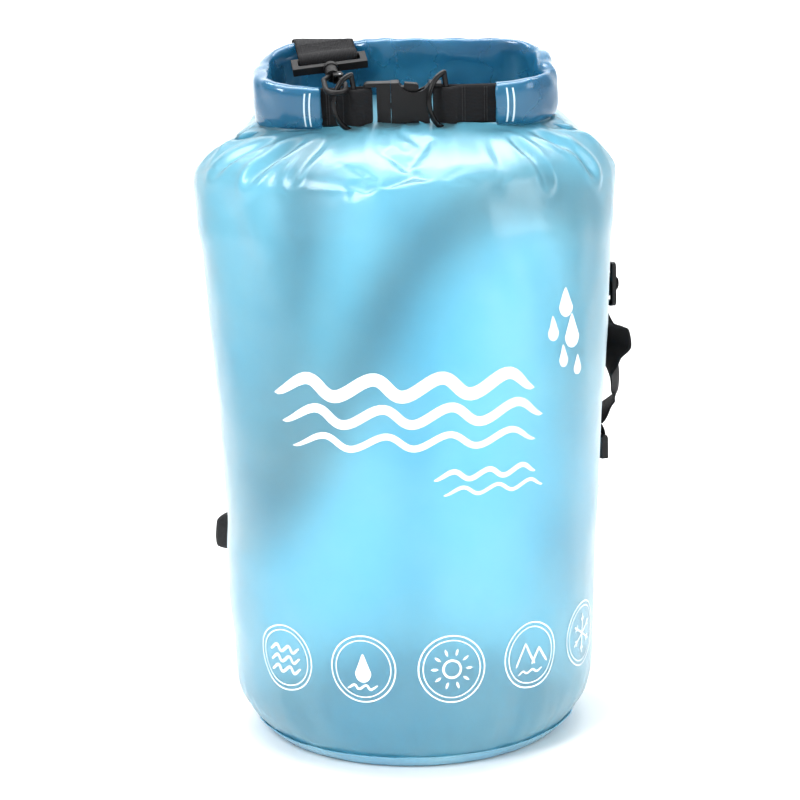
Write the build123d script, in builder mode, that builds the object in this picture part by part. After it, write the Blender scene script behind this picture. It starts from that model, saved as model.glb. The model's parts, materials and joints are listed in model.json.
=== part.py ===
from build123d import *
from math import cos, radians, sin, sqrt
import os

# A roll-top dry bag of about 20 litres, standing closed on its base: a clear film tube on a round base, its
# mouth rolled down over a stiffener, bent into a ring and clipped in front by a side-release buckle. A
# shoulder strap is clipped from the ring's left D-ring to a third D-ring low on the bag's rear right.
# Millimetres, +Z up, the origin at the centre of the base, -Y to the front, where the buckle is.

# ---- the bag -------------------------------------------------------------------------------------------
film = 0.9                       # the tube's wall
weld_gap = 0.05                  # between two film pieces welded together
patch_film = 0.8                 # the pieces welded on the outside
foot_radius = 107.0
weld_height = 9.0                # the band where tube and base are welded
body_radius = 120.0
round_top = 60.0                 # the tube is round up to here, then it flattens towards the mouth
roof_start = 371.0               # above this the wall closes over the contents
seam_width = 25.0
patch_width = 52.0
patch_height = 56.0
patch_drop = 33.0                # from the rear D-ring's bar down to the patch's middle

# Sections of the tube: height, half width, half depth and how far the section sits to the back.
wall_sections = [
    (round_top, body_radius, body_radius, 0.0),
    (160.0, 124.5, 118.0, 0.0),
    (260.0, 130.0, 113.0, 0.0),
    (340.0, 134.5, 107.0, 0.0),
    (370.0, 134.5, 102.0, 1.0),
    (386.0, 127.0, 87.0, 4.0),
    (396.0, 113.0, 61.0, 12.0),
    (405.0, 101.0, 34.0, 24.0),
    (416.0, 94.0, 6.5, 36.0),
]

# ---- the rolled mouth, bent into a ring ------------------------------------------------------------------
ring_height = 429.0
ring_droop = 14.0                # the ring leans down to the front
roll_height = 34.0
roll_thickness = 14.0
ring_back = 34.0                 # the ring's centreline in its own plane
ring_front = -44.0
ring_side = 92.0
back_corner = 30.0
front_corner = 28.0
left_tip = -53.0
right_tip = 58.0
stiffener_height = 25.0
stiffener_thickness = 2.0
cavity_play = 0.3
tip_pocket = 16.0                # how deep the webbing reaches into the roll's ends
roll_round = 4.0

# ---- webbing, buckle and D-rings -------------------------------------------------------------------------
webbing_width = 25.0
webbing_double = 3.2             # two plies sewn together
ply = 1.6
running_play = 0.25              # between webbing and what it goes round
buckle_half = 15.5               # half the buckle's height
buckle_left = -25.5
buckle_seam = -8.6               # where male and female meet
buckle_right = 23.5
male_bar = -23.6                 # the bars that the webbing goes round
female_bar = 21.6
bar_radius = 1.8
rail = 2.5                       # the male half's upper and lower rails
male_thickness = 6.6
middle_bar = -16.0               # the male half's second bar
shell_half = 4.0                 # half the female half's thickness
mouth_half = 13.3
mouth_depth = 2.4
mouth_end = 13.0
grip_radius = 10.9               # the finger hollows that show the prongs
prong_inner = 10.0
prong_outer = 12.6
prong_shoulder = 14.9
prong_end = 7.5
prong_half = 2.0
guide_length = 15.0              # the tongue between the prongs
wire_radius = 1.7
d_half_height = 18.0             # of a D-ring's centreline
d_depth = 16.0
d_slip = 3.4                     # the D-rings hang this far above the webbing's middle
d_lean = 8.0                     # and lean over to the left by this angle
d_front = 2.4                    # their bars lie this far in front of the webbing's middle
left_d_bar = -30.0
right_d_bar = 28.2
left_d_angle = 32.0              # how far each bow stands off the webbing
right_d_angle = 40.0

# ---- swivel hooks, strap and slider ----------------------------------------------------------------------
hook_wire = 1.7
hook_half = 6.3
hook_neck = 20.0
nose_height = 5.0
hook_room = 0.55                 # below the wire that the hook hangs on
cheek_half = 2.9
slot_half = 1.85                 # between the cheeks, for the gate
gate_half = 1.55
gate_foot = nose_height + 0.6    # clear of the nose when the gate swings past it
gate_round = 1.65
boss_radius = 4.2
boss_top = 29.0
gate_pivot_x = 4.2
gate_pivot_y = hook_neck - 2.4
pin_radius = 0.8
stud_radius = 2.1
stud_head = 3.0
swivel_play = 0.1
loop_bar = 46.0                  # from the hook's link to the bar that the strap goes round
loop_bar_radius = 2.2
loop_half = 24.0
loop_foot = boss_top + 2.4       # where the loop's flat frame starts
loop_rail = 5.0
loop_frame_half = 2.4
strap_width = 38.0
strap_thickness = 1.5
top_swivel = 5.0                 # how far the top hook is turned from its loop
rear_d_angle = 27.0              # how far the rear D-ring's bow stands off the bag
slider_height = 292.0
slider_angle = 18.0
slider_gap = 7.5
slider_slot = 9.0
slider_slot_at = 6.6             # from the slider's middle to each slot's middle
slider_wrap = 3.7                # round the slider's middle bar
anchor_height = 124.0            # of the rear D-ring's bar
anchor_angle = 22.0

droop = radians(ring_droop)
ring = Plane(origin=(0, 0, ring_height), x_dir=(1, 0, 0), z_dir=(0, -sin(droop), cos(droop)))
front = Plane(origin=ring.from_local_coords((0, ring_front, 0)), x_dir=(1, 0, 0), z_dir=-ring.y_dir)
front_side = Plane(origin=front.origin, x_dir=(1, 0, 0), z_dir=ring.z_dir)


# ---- helpers -----------------------------------------------------------------------------------------------
def outer_body(grow):
    """The bag's outside as one solid, moved out by grow."""
    with BuildPart() as body:
        with BuildSketch(Plane.XZ):
            with BuildLine():
                foot = Line((0, 0), (foot_radius + grow, 0))
                weld = Line(foot @ 1, (foot_radius + 4.5 + grow, weld_height))
                turn = TangentArc(weld @ 1, (body_radius + grow, 36), tangent=(0.45, 1))
                side = Line(turn @ 1, (body_radius + grow, round_top))
                top = Line(side @ 1, (0, round_top))
                Line(top @ 1, foot @ 0)
            make_face()
        revolve(axis=Axis.Z)
        for height, half_width, half_depth, back in wall_sections:
            lift = grow if height > roof_start else 0
            with BuildSketch(Plane.XY.offset(height + lift)):
                with Locations((0, back)):
                    Ellipse(half_width + grow, half_depth + grow)
        loft(ruled=True)
        if grow < 0:
            with BuildSketch(Plane.XY.offset(height + 3 * grow)):
                with Locations((0, back)):
                    Ellipse(half_width + 4 * grow, half_depth + 2 * grow)
            extrude(amount=-4 * grow)
    return body.part


def wall_at(height):
    """Half width, half depth and setback of the tube at a height above its round part."""
    for low, high in zip(wall_sections, wall_sections[1:]):
        if low[0] <= height <= high[0]:
            part_way = (height - low[0]) / (high[0] - low[0])
            return [a + (b - a) * part_way for a, b in zip(low[1:], high[1:])]
    return body_radius, body_radius, 0.0


def beside(angle, height, gap):
    """A plane standing beside the wall: X along the wall, Y up, Z outwards. The angle runs from +X to +Y."""
    half_width, half_depth, back = wall_at(height)
    turn = radians(angle)
    reach = 1 / sqrt((cos(turn) / half_width) ** 2 + (sin(turn) / half_depth) ** 2)
    outwards = Vector(reach * cos(turn) / half_width ** 2, reach * sin(turn) / half_depth ** 2, 0).normalized()
    foot = Vector(reach * cos(turn), back + reach * sin(turn), height)
    return Plane(origin=foot + outwards * gap, x_dir=Vector(0, 0, 1).cross(outwards), z_dir=outwards)


def ring_path():
    """The centreline of the rolled mouth, from its left tip round the back to its right tip."""
    corners = [
        (left_tip, ring_front),
        (-ring_side, ring_front),
        (-ring_side, ring_back),
        (ring_side, ring_back),
        (ring_side, ring_front),
        (right_tip, ring_front),
    ]
    return FilletPolyline(*corners, radius=[front_corner, back_corner, back_corner, front_corner])


def ring_band(thickness, height, trim):
    """A band along the ring's centreline, its two ends cut back by trim."""
    with BuildPart() as band:
        with BuildSketch(ring):
            with BuildLine():
                ring_path()
            trace(line_width=thickness)
            if trim:
                with Locations((left_tip, ring_front), (right_tip, ring_front)):
                    Rectangle(2 * trim, 2 * roll_thickness, mode=Mode.SUBTRACT)
        extrude(amount=height / 2, both=True)
    return band.part


def d_ring(place):
    """A D-ring: its bar along the place's Y, its bow towards the place's X."""
    with BuildPart() as ring_part:
        with BuildLine(place) as bow:
            EllipticalCenterArc((0, 0), d_depth, d_half_height, start_angle=-90, arc_size=180)
        with BuildSketch(Plane(origin=bow.line @ 0, z_dir=bow.line % 0)):
            Circle(wire_radius)
        sweep()
        with BuildSketch(Plane(origin=place.origin, x_dir=place.x_dir, z_dir=place.y_dir)):
            Circle(wire_radius)
        extrude(amount=d_half_height, both=True)
        with Locations(place * Pos(0, d_half_height, 0), place * Pos(0, -d_half_height, 0)):
            Sphere(wire_radius)
    return ring_part.part


def along(place):
    """The plane across the place's Y axis, for what is round about that axis."""
    return Plane(origin=place.origin, x_dir=place.x_dir, z_dir=place.y_dir)


def hook_body(place):
    """A swivel hook: the place's origin is the middle of what it is clipped to, Y runs up to the swivel."""
    low = -(wire_radius + hook_wire + hook_room)
    with BuildPart() as hook:
        with BuildLine(place) as wire:
            corners = [(0, hook_neck + 3), (-hook_half, hook_neck - 5), (-hook_half, low), (hook_half, low),
                       (hook_half, nose_height)]
            FilletPolyline(*corners, radius=[3, hook_half - 0.05, hook_half - 0.05])
        with BuildSketch(Plane(origin=wire.line @ 0, z_dir=wire.line % 0)):
            Circle(hook_wire)
        sweep()
        with BuildSketch(along(place).offset(hook_neck)):
            Circle(boss_radius)
        extrude(amount=boss_top - hook_neck)
        with BuildSketch(place):
            with Locations((2.8, hook_neck - 1.6)):
                Rectangle(5.6, 5.6)
            with Locations((gate_pivot_x, gate_pivot_y)):
                Circle(2.2)
        extrude(amount=cheek_half, both=True)
        with BuildSketch(place):
            with Locations((3.4, hook_neck - 4.0)):
                Rectangle(6.4, 7.4)
            with Locations((5.6, hook_neck - 1.2)):
                Rectangle(3.6, 2.2)
        extrude(amount=slot_half, both=True, mode=Mode.SUBTRACT)
        with BuildSketch(place):
            with Locations((gate_pivot_x, gate_pivot_y)):
                Circle(pin_radius)
        extrude(amount=4, both=True, mode=Mode.SUBTRACT)
        with BuildSketch(along(place).offset(hook_neck + 2)):
            Circle(stud_head + swivel_play)
        extrude(amount=3.2, mode=Mode.SUBTRACT)
        with BuildSketch(along(place).offset(hook_neck + 4)):
            Circle(stud_radius + swivel_play)
        extrude(amount=boss_top, mode=Mode.SUBTRACT)
    return hook.part


def hook_gate(place):
    """The hook's gate, from its pivot down to the hook's nose."""
    with BuildPart() as gate:
        with BuildSketch(place):
            with BuildLine():
                Polyline((hook_half - 1.5, gate_foot), (hook_half + 1.5, gate_foot),
                         (gate_pivot_x + 1.7, gate_pivot_y), (gate_pivot_x - 1.4, gate_pivot_y), close=True)
            make_face()
            with Locations((gate_pivot_x, gate_pivot_y)):
                Circle(gate_round)
                Circle(pin_radius + swivel_play, mode=Mode.SUBTRACT)
        extrude(amount=gate_half, both=True)
    return gate.part


def gate_pin(place):
    """The pin that the gate turns on, pressed into the hook's two cheeks."""
    with BuildPart() as pin:
        with BuildSketch(place):
            with Locations((gate_pivot_x, gate_pivot_y)):
                Circle(pin_radius)
        extrude(amount=cheek_half - 0.1, both=True)
    return pin.part


def strap_loop(place):
    """The hook's upper half: a stud that turns in the hook's boss, and a wide loop for the strap."""
    with BuildPart() as loop:
        with BuildSketch(along(place).offset(hook_neck + 2.2)):
            Circle(stud_head)
        extrude(amount=2.6)
        with BuildSketch(along(place).offset(hook_neck + 3)):
            Circle(stud_radius)
        extrude(amount=boss_top - hook_neck + 1)
        with BuildSketch(along(place).offset(boss_top + 0.3)):
            Circle(boss_radius + 0.6)
        extrude(amount=3.4)
        with BuildSketch(place):
            with Locations((0, (loop_foot + loop_bar) / 2)):
                Rectangle(2 * loop_half, loop_bar - loop_foot)
            with Locations((0, (loop_foot + loop_rail + loop_bar) / 2)):
                Rectangle(strap_width + 2, loop_bar - loop_foot - loop_rail, mode=Mode.SUBTRACT)
        extrude(amount=loop_frame_half, both=True)
        fillet(loop.edges().filter_by(Axis(place.origin, place.x_dir)).group_by(SortBy.LENGTH)[-1], 1.2)
        with BuildSketch(Plane(origin=place.from_local_coords((0, loop_bar, 0)), z_dir=place.x_dir)):
            Circle(loop_bar_radius)
        extrude(amount=loop_half, both=True)
    return loop.part


def ribbon(stations, width, thickness):
    """A flat strap through stations, each a point and the way that its face looks."""
    places = []
    for n, (point, facing) in enumerate(stations):
        heading = stations[min(n + 1, len(stations) - 1)][0] - stations[max(n - 1, 0)][0]
        across = facing.cross(heading).normalized()
        places.append(Plane(origin=point, x_dir=across, z_dir=heading.normalized()))
    with BuildPart() as strap:
        for ends in zip(places, places[1:]):
            for place in ends:
                with BuildSketch(place):
                    Rectangle(width, thickness)
            loft(ruled=True)
    return strap.part


def wrap(place, bar_height, radius, turns):
    """Stations round a bar across the place, seen from its side, facing away from the bar."""
    stations = []
    for turn in turns:
        out = place.y_dir * sin(radians(turn)) + place.z_dir * cos(radians(turn))
        stations.append((place.from_local_coords((0, bar_height, 0)) + out * radius, out))
    return stations


# ---- the bag -------------------------------------------------------------------------------------------
bag_solid = outer_body(0)
skin_start = outer_body(weld_gap)
skin_end = outer_body(weld_gap + patch_film)

with BuildPart() as bag_wall:
    add(bag_solid)
    add(outer_body(-film), mode=Mode.SUBTRACT)

with BuildPart() as base_disc:
    with BuildSketch():
        Circle(foot_radius - film - weld_gap)
    extrude(amount=film)

with BuildPart() as outer_skin:
    add(skin_end)
    add(skin_start, mode=Mode.SUBTRACT)

with BuildPart() as base_weld_band:
    add(outer_skin.part)
    with BuildSketch(Plane.XY.offset(0.3)):
        Circle(2 * body_radius)
    extrude(amount=weld_height - 0.6, mode=Mode.INTERSECT)

with BuildPart() as back_seam:
    add(outer_skin.part)
    with BuildSketch(Plane.XZ):
        with Locations((0, (weld_height + 5 + roof_start) / 2)):
            Rectangle(seam_width, roof_start - weld_height - 15)
    extrude(amount=-2 * body_radius, mode=Mode.INTERSECT)

anchor = beside(anchor_angle, anchor_height, webbing_double / 2 + patch_film + 1.6)

with BuildPart() as rear_patch:
    add(outer_skin.part)
    with BuildSketch(anchor):
        with Locations((0, -patch_drop)):
            RectangleRounded(patch_width, patch_height, 8)
    extrude(amount=2 * webbing_width, both=True, mode=Mode.INTERSECT)

with BuildPart() as rear_anchor:
    with BuildSketch(Plane(origin=anchor.origin, x_dir=anchor.z_dir, z_dir=anchor.x_dir)):
        with Locations((-1.4, 20)):
            Rectangle(webbing_double, 40)
        Circle(wire_radius + running_play + ply)
        Circle(wire_radius + running_play, mode=Mode.SUBTRACT)
    extrude(amount=webbing_width / 2, both=True)

# ---- the ring --------------------------------------------------------------------------------------------
with BuildPart() as rolled_mouth:
    add(ring_band(roll_thickness, roll_height, 0))
    fillet(rolled_mouth.edges().group_by(SortBy.LENGTH)[-1], roll_round)
    add(ring_band(stiffener_thickness + 2 * cavity_play, stiffener_height + 2 * cavity_play, tip_pocket - 1),
        mode=Mode.SUBTRACT)
    with BuildSketch(ring):
        with Locations((left_tip, ring_front), (right_tip, ring_front)):
            Rectangle(2 * tip_pocket, webbing_double + 2 * cavity_play)
    extrude(amount=webbing_width / 2 + cavity_play, both=True, mode=Mode.SUBTRACT)

with BuildPart() as mouth_stiffener:
    add(ring_band(stiffener_thickness, stiffener_height, tip_pocket))


def end_webbing(tip, pocket_end, bar, d_bar):
    """The doubled webbing from inside the roll's end, round the D-ring's bar and the buckle's bar."""
    d_place = Plane(front * Pos(d_bar, 0, d_front) * Rot(0, 0, d_lean))
    with BuildPart() as webbing:
        with BuildSketch(front_side):
            with Locations(((pocket_end + bar) / 2, 0)):
                Rectangle(abs(pocket_end - bar), webbing_double)
            with Locations((bar, 0)):
                Circle(bar_radius + running_play + ply)
                Circle(bar_radius + running_play, mode=Mode.SUBTRACT)
        extrude(amount=webbing_width / 2, both=True)
        with BuildSketch(along(d_place)):
            Circle(wire_radius + running_play + ply)
        extrude(amount=webbing_width / 2 - 0.8, both=True)
        with BuildSketch(along(d_place)):
            Circle(wire_radius + running_play)
        extrude(amount=webbing_width, both=True, mode=Mode.SUBTRACT)
    return webbing.part


left_webbing = end_webbing(left_tip, left_tip - tip_pocket + 1, male_bar, left_d_bar)
right_webbing = end_webbing(right_tip, right_tip + tip_pocket - 1, female_bar, right_d_bar)


def ring_on_webbing(bar, stand_off):
    """The place of a D-ring that leans over to the left and stands off the webbing by an angle."""
    return Plane(front * Pos(bar, 0, d_front) * Rot(0, 0, d_lean) * Pos(0, d_slip, 0) * Rot(0, 180 + stand_off, 0))


left_d_place = ring_on_webbing(left_d_bar, left_d_angle)
right_d_place = ring_on_webbing(right_d_bar, right_d_angle)
left_d_ring = d_ring(left_d_place)
right_d_ring = d_ring(right_d_place)

# ---- the buckle ------------------------------------------------------------------------------------------
with BuildPart() as buckle_male:
    with BuildSketch(front):
        with Locations(((buckle_left + buckle_seam) / 2, 0)):
            RectangleRounded(buckle_seam - buckle_left, 2 * buckle_half, 2.5)
        with Locations((buckle_seam - 2, 0)):
            Rectangle(4, 2 * buckle_half)
        with Locations((-20.6, 0)):
            Rectangle(12, 2 * (buckle_half - rail), mode=Mode.SUBTRACT)
    extrude(amount=male_thickness / 2, both=True)
    fillet(buckle_male.faces().filter_by(Axis(front.origin, front.z_dir)).edges().filter_by(
        Axis(front.origin, front.x_dir)).group_by(SortBy.LENGTH)[-1], 1)
    with BuildSketch(front):
        with Locations((middle_bar, 0)):
            Rectangle(2.8, 2 * buckle_half - 1)
    extrude(amount=2.2, both=True)
    with BuildSketch(along(Plane(front * Pos(male_bar, 0, 0)))):
        Circle(bar_radius)
    extrude(amount=buckle_half - 1, both=True)
    with BuildSketch(front):
        with Locations((buckle_seam - 0.5 + guide_length / 2, 0)):
            Rectangle(guide_length, 3)
    extrude(amount=prong_half, both=True)


def prong(side):
    """One springing arm of the male half, the upper for side 1 and the lower for side -1."""
    with BuildPart() as arm:
        with BuildSketch(front):
            with BuildLine():
                outline = Polyline((buckle_seam + 0.3, side * prong_outer), (-0.2, side * prong_outer),
                                   (0.5, side * prong_shoulder), (prong_end, side * (prong_shoulder - 0.7)))
                nose = RadiusArc(outline @ 1, (prong_end, side * (prong_inner - 0.6)), side * 2.5)
                Polyline(nose @ 1, (0.5, side * prong_inner), (buckle_seam + 0.3, side * prong_inner),
                         outline @ 0)
            make_face()
        extrude(amount=prong_half, both=True)
    return arm.part


buckle_prong_upper = prong(1)
buckle_prong_lower = prong(-1)

with BuildPart() as buckle_female:
    with BuildSketch(front):
        with BuildLine():
            Polyline((buckle_seam + 0.2, -buckle_half), (13.5, -buckle_half), (15.5, -15), (buckle_right, -14.6),
                     (buckle_right, 14.6), (15.5, 15), (13.5, buckle_half), (buckle_seam + 0.2, buckle_half),
                     close=True)
        make_face()
    extrude(amount=shell_half, both=True)
    with BuildSketch(front):
        with Locations((mouth_end - 11, 0)):
            Rectangle(22, 2 * mouth_half)
    extrude(amount=mouth_depth, both=True, mode=Mode.SUBTRACT)
    with BuildSketch(front):
        with Locations((6.5, 20), (6.5, -20)):
            Circle(grip_radius)
    extrude(amount=2 * shell_half, both=True, mode=Mode.SUBTRACT)
    with BuildSketch(front):
        with Locations((20.0, 0)):
            Rectangle(8.2, 25.8)
    extrude(amount=2 * shell_half, both=True, mode=Mode.SUBTRACT)
    with BuildSketch(along(Plane(front * Pos(female_bar, 0, 0)))):
        Circle(bar_radius)
    extrude(amount=14, both=True)

# ---- the top hook, clipped round the left D-ring's bow -------------------------------------------------------
link_turn = radians(50)
top_link = left_d_place.from_local_coords((d_depth * sin(link_turn), d_half_height * cos(link_turn), 0))
top_heading = (Vector(-49, -6.8, 451) - top_link).normalized()
loop_across = Vector(cos(radians(3)), 0, sin(radians(3)))
loop_across = (loop_across - top_heading * loop_across.dot(top_heading)).normalized()
top_loop_place = Plane(origin=top_link, x_dir=loop_across, z_dir=loop_across.cross(top_heading))
top_place = Plane(top_loop_place * Rot(0, top_swivel, 0))

top_hook = hook_body(top_place)
top_hook_gate = hook_gate(top_place)
top_hook_pin = gate_pin(top_place)
top_hook_loop = strap_loop(top_loop_place)

# ---- the rear D-ring and the lower hook ------------------------------------------------------------------
rear_d_place = Plane(anchor * Rot(0, 0, 90) * Rot(0, -rear_d_angle, 0))
rear_d_ring = d_ring(rear_d_place)
lower_link = rear_d_place.from_local_coords((d_depth, 0, 0))
lower_loop_place = Plane(origin=lower_link, x_dir=anchor.x_dir, z_dir=anchor.z_dir)
lower_place = Plane(origin=lower_link, x_dir=anchor.z_dir, z_dir=-anchor.x_dir)

lower_hook = hook_body(lower_place)
lower_hook_gate = hook_gate(lower_place)
lower_hook_pin = gate_pin(lower_place)
lower_hook_loop = strap_loop(lower_loop_place)

# ---- the slider on the strap -------------------------------------------------------------------------------
slider = beside(slider_angle, slider_height, slider_gap)

with BuildPart() as tri_glide:
    with BuildSketch(slider):
        RectangleRounded(strap_width + 9, 30, 3)
        with Locations((0, slider_slot_at), (0, -slider_slot_at)):
            Rectangle(strap_width + 2, slider_slot, mode=Mode.SUBTRACT)
    extrude(amount=1.5, both=True)

# ---- the shoulder strap ------------------------------------------------------------------------------------
lay = strap_thickness / 2 + 0.1
wrap_radius = loop_bar_radius + running_play + strap_thickness / 2


def on_wall(angle, height, gap, twist=0):
    """A station of the strap beside the wall, its face turned by the twist from facing the wall."""
    place = beside(angle, height, gap)
    return place.origin, (-place.z_dir).rotate(Axis.Z, twist)


def at(place, along_y, out):
    """A station of the strap in a place's own plane, facing out of it."""
    return place.from_local_coords((0, along_y, out)), place.z_dir


def down(place, along_y, out):
    """A station of the strap in a place's own plane, facing into it."""
    return place.from_local_coords((0, along_y, out)), -place.z_dir


strap_route = [at(top_loop_place, loop_bar + 24, lay), at(top_loop_place, loop_bar + 9, lay)]
strap_route += [at(top_loop_place, loop_bar + 3.5, wrap_radius - 0.3)]
strap_route += wrap(top_loop_place, loop_bar, wrap_radius, range(0, -181, -45))
strap_route += [down(top_loop_place, loop_bar + 3.5, 0.3 - wrap_radius)]
strap_route += [down(top_loop_place, loop_bar + 9, -lay), down(top_loop_place, loop_bar + 20, -lay)]
strap_route += [
    (Vector(-53, 30, 460), Vector(0, 0, -1)),
    (Vector(-55, 45, 459), Vector(0, -0.5, -1)),
    (Vector(-57, 55, 450), Vector(0, -1, -0.6)),
    (Vector(-60, 63, 430), Vector(0, -1, -0.4)),
    (Vector(-64, 76, 408), Vector(0.2, -1, -0.5)),
    (Vector(-70, 92, 386), Vector(0.4, -1, -0.3)),
]
strap_route += [
    on_wall(126, 362, 8),
    on_wall(128, 330, 6),
    on_wall(132, 285, 5),
    on_wall(136, 240, 5),
    on_wall(142, 195, 6),
    on_wall(148, 160, 8, 10),
    on_wall(153, 135, 14, 40),
    on_wall(155, 115, 21, 75),
    (beside(151, 100, 25).origin, Vector(0, 0, 1)),
    on_wall(143, 112, 20, -75),
    on_wall(135, 135, 13, -40),
    on_wall(126, 162, 9, -10),
    on_wall(114, 200, 6),
    on_wall(104, 245, 6),
    on_wall(92, 288, 6),
    on_wall(76, 322, 7),
    on_wall(60, 343, 9),
    on_wall(44, 352, 10),
    on_wall(31, 347, 10),
    on_wall(23, 333, 9),
    on_wall(18.3, 321, 6),
]
weave = [(16.5, -3.2), (11.0, -3.2), (6.6, 0.2), (3.6, slider_wrap + 1.7), (-3.6, slider_wrap + 1.7), (-6.6, 0.2),
         (-11.0, -3.2), (-16.5, -3.2)]
strap_route += [down(slider, along_y, out) for along_y, out in weave]
strap_route += [
    on_wall(18, 266, 11),
    on_wall(18.5, 258, 18, 20),
    on_wall(19, 249, 20, 25),
    on_wall(19.5, 240, 17, 5),
    on_wall(20, 231, 20, -20),
    on_wall(20.5, 221, 28, -40),
    on_wall(21, 211, 30, -35),
    on_wall(21.5, 203, 23, -15),
    down(lower_loop_place, loop_bar + 12, 3),
    down(lower_loop_place, loop_bar + 9.2, lay),
]

adjuster_route = wrap(slider, 0, slider_wrap, range(-90, 181, 45))
adjuster_route += [down(slider, -6, -4.4), down(slider, -11.8, -4.9), down(slider, -20, -4.9)]
adjuster_route += [on_wall(20, 240, 4.5), down(lower_loop_place, loop_bar + 20, -lay)]
adjuster_route += [down(lower_loop_place, loop_bar + 9, -lay)]
adjuster_route += [down(lower_loop_place, loop_bar + 3.5, 0.3 - wrap_radius)]
adjuster_route += wrap(lower_loop_place, loop_bar, wrap_radius, range(-180, 1, 45))
adjuster_route += [at(lower_loop_place, loop_bar + 3.5, wrap_radius - 0.3)]
adjuster_route += [at(lower_loop_place, loop_bar + 8.5, lay)]

with BuildPart() as shoulder_strap:
    add(ribbon(strap_route, strap_width, strap_thickness))

with BuildPart() as adjuster_strap:
    add(ribbon(adjuster_route, strap_width, strap_thickness))

pieces = {
    "bag_wall": bag_wall.part,
    "base_disc": base_disc.part,
    "base_weld_band": base_weld_band.part,
    "back_seam": back_seam.part,
    "rear_patch": rear_patch.part,
    "rear_anchor": rear_anchor.part,
    "rolled_mouth": rolled_mouth.part,
    "mouth_stiffener": mouth_stiffener.part,
    "left_webbing": left_webbing,
    "right_webbing": right_webbing,
    "left_d_ring": left_d_ring,
    "right_d_ring": right_d_ring,
    "buckle_male": buckle_male.part,
    "buckle_prong_upper": buckle_prong_upper,
    "buckle_prong_lower": buckle_prong_lower,
    "buckle_female": buckle_female.part,
    "top_hook": top_hook,
    "top_hook_gate": top_hook_gate,
    "top_hook_pin": top_hook_pin,
    "top_hook_loop": top_hook_loop,
    "rear_d_ring": rear_d_ring,
    "lower_hook": lower_hook,
    "lower_hook_gate": lower_hook_gate,
    "lower_hook_pin": lower_hook_pin,
    "lower_hook_loop": lower_hook_loop,
    "tri_glide": tri_glide.part,
    "shoulder_strap": shoulder_strap.part,
    "adjuster_strap": adjuster_strap.part,
}
os.makedirs("parts", exist_ok=True)
for name, piece in pieces.items():
    piece.label = name
    export_step(piece, f"parts/{name}.step")
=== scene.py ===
import json
from math import ceil, cos, degrees, exp, hypot, pi, radians, sin, sqrt

import bpy
from mathutils import Matrix, Vector, noise
from mathutils.bvhtree import BVHTree


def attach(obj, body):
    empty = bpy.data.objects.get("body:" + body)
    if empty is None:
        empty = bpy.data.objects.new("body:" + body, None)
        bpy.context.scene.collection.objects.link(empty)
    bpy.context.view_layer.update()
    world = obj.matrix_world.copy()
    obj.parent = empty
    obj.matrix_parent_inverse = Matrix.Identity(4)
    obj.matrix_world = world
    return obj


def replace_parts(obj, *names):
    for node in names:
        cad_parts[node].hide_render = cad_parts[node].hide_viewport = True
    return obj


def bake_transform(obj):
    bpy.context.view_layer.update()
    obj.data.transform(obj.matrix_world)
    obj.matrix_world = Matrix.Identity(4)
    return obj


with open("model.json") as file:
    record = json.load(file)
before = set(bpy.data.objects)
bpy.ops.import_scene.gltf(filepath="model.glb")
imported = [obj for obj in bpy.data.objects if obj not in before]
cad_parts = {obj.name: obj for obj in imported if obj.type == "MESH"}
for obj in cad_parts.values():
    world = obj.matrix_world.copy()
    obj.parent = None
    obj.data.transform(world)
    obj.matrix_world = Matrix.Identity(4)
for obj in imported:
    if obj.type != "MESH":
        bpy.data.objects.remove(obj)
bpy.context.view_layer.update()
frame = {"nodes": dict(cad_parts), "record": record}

MM = 0.001                        # the sizes below are in millimetres

# ---- driving sizes, as in the CAD model ------------------------------------
BODY = 120.0
ROUND_TOP = 60.0
FOOT = 99.0
ROUND_FOOT = 40.0                # the wall has turned upright by this height
SECTIONS = [                      # height, half width, half depth, setback of the tube
    (ROUND_TOP, BODY, BODY, 0.0),
    (160.0, 124.5, 118.0, 0.0),
    (260.0, 130.0, 113.0, 0.0),
    (340.0, 134.5, 107.0, 0.0),
    (370.0, 134.5, 102.0, 1.0),
]
RING_HEIGHT = 429.0
DROOP = radians(14.0)
ROLL_HEIGHT = 34.0
ROLL_THICKNESS = 14.0
RING_BACK, RING_FRONT, RING_SIDE = 34.0, -44.0, 92.0
BACK_CORNER, FRONT_CORNER = 30.0, 28.0
LEFT_TIP, RIGHT_TIP = -53.0, 58.0


# ---- helpers ---------------------------------------------------------------
def place(origin, x_dir, z_dir):
    """A plane as a matrix: its X, Y and Z axes and its origin."""
    x, z = Vector(x_dir).normalized(), Vector(z_dir).normalized()
    return Matrix.Translation(Vector(origin)) @ Matrix((x, z.cross(x), z)).transposed().to_4x4()


def point(where, x, y, z):
    return where @ Vector((x, y, z))


def axis(where, n):
    return where.to_3x3().col[n].normalized()


def mesh_object(name, verts, faces, scale=MM):
    """A smooth-shaded mesh; its points are given in millimetres unless a scale says otherwise."""
    mesh = bpy.data.meshes.new(name)
    mesh.from_pydata([Vector(v) * scale for v in verts], [], faces)
    mesh.polygons.foreach_set("use_smooth", [True] * len(mesh.polygons))
    mesh.update()
    piece = bpy.data.objects.new(name, mesh)
    bpy.context.scene.collection.objects.link(piece)
    return piece


def grid_faces(rows, columns, closed):
    """Quads of a grid of points, joined round when closed."""
    faces = []
    for i in range(rows - 1):
        for j in range(columns if closed else columns - 1):
            k = (j + 1) % columns
            faces.append((i * columns + j, i * columns + k, (i + 1) * columns + k, (i + 1) * columns + j))
    return faces


def ease(value):
    """From 0 to 1 with a gentle start and end."""
    value = min(max(value, 0.0), 1.0)
    return value * value * (3 - 2 * value)


ring = place((0, 0, RING_HEIGHT), (1, 0, 0), (0, -sin(DROOP), cos(DROOP)))


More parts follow.
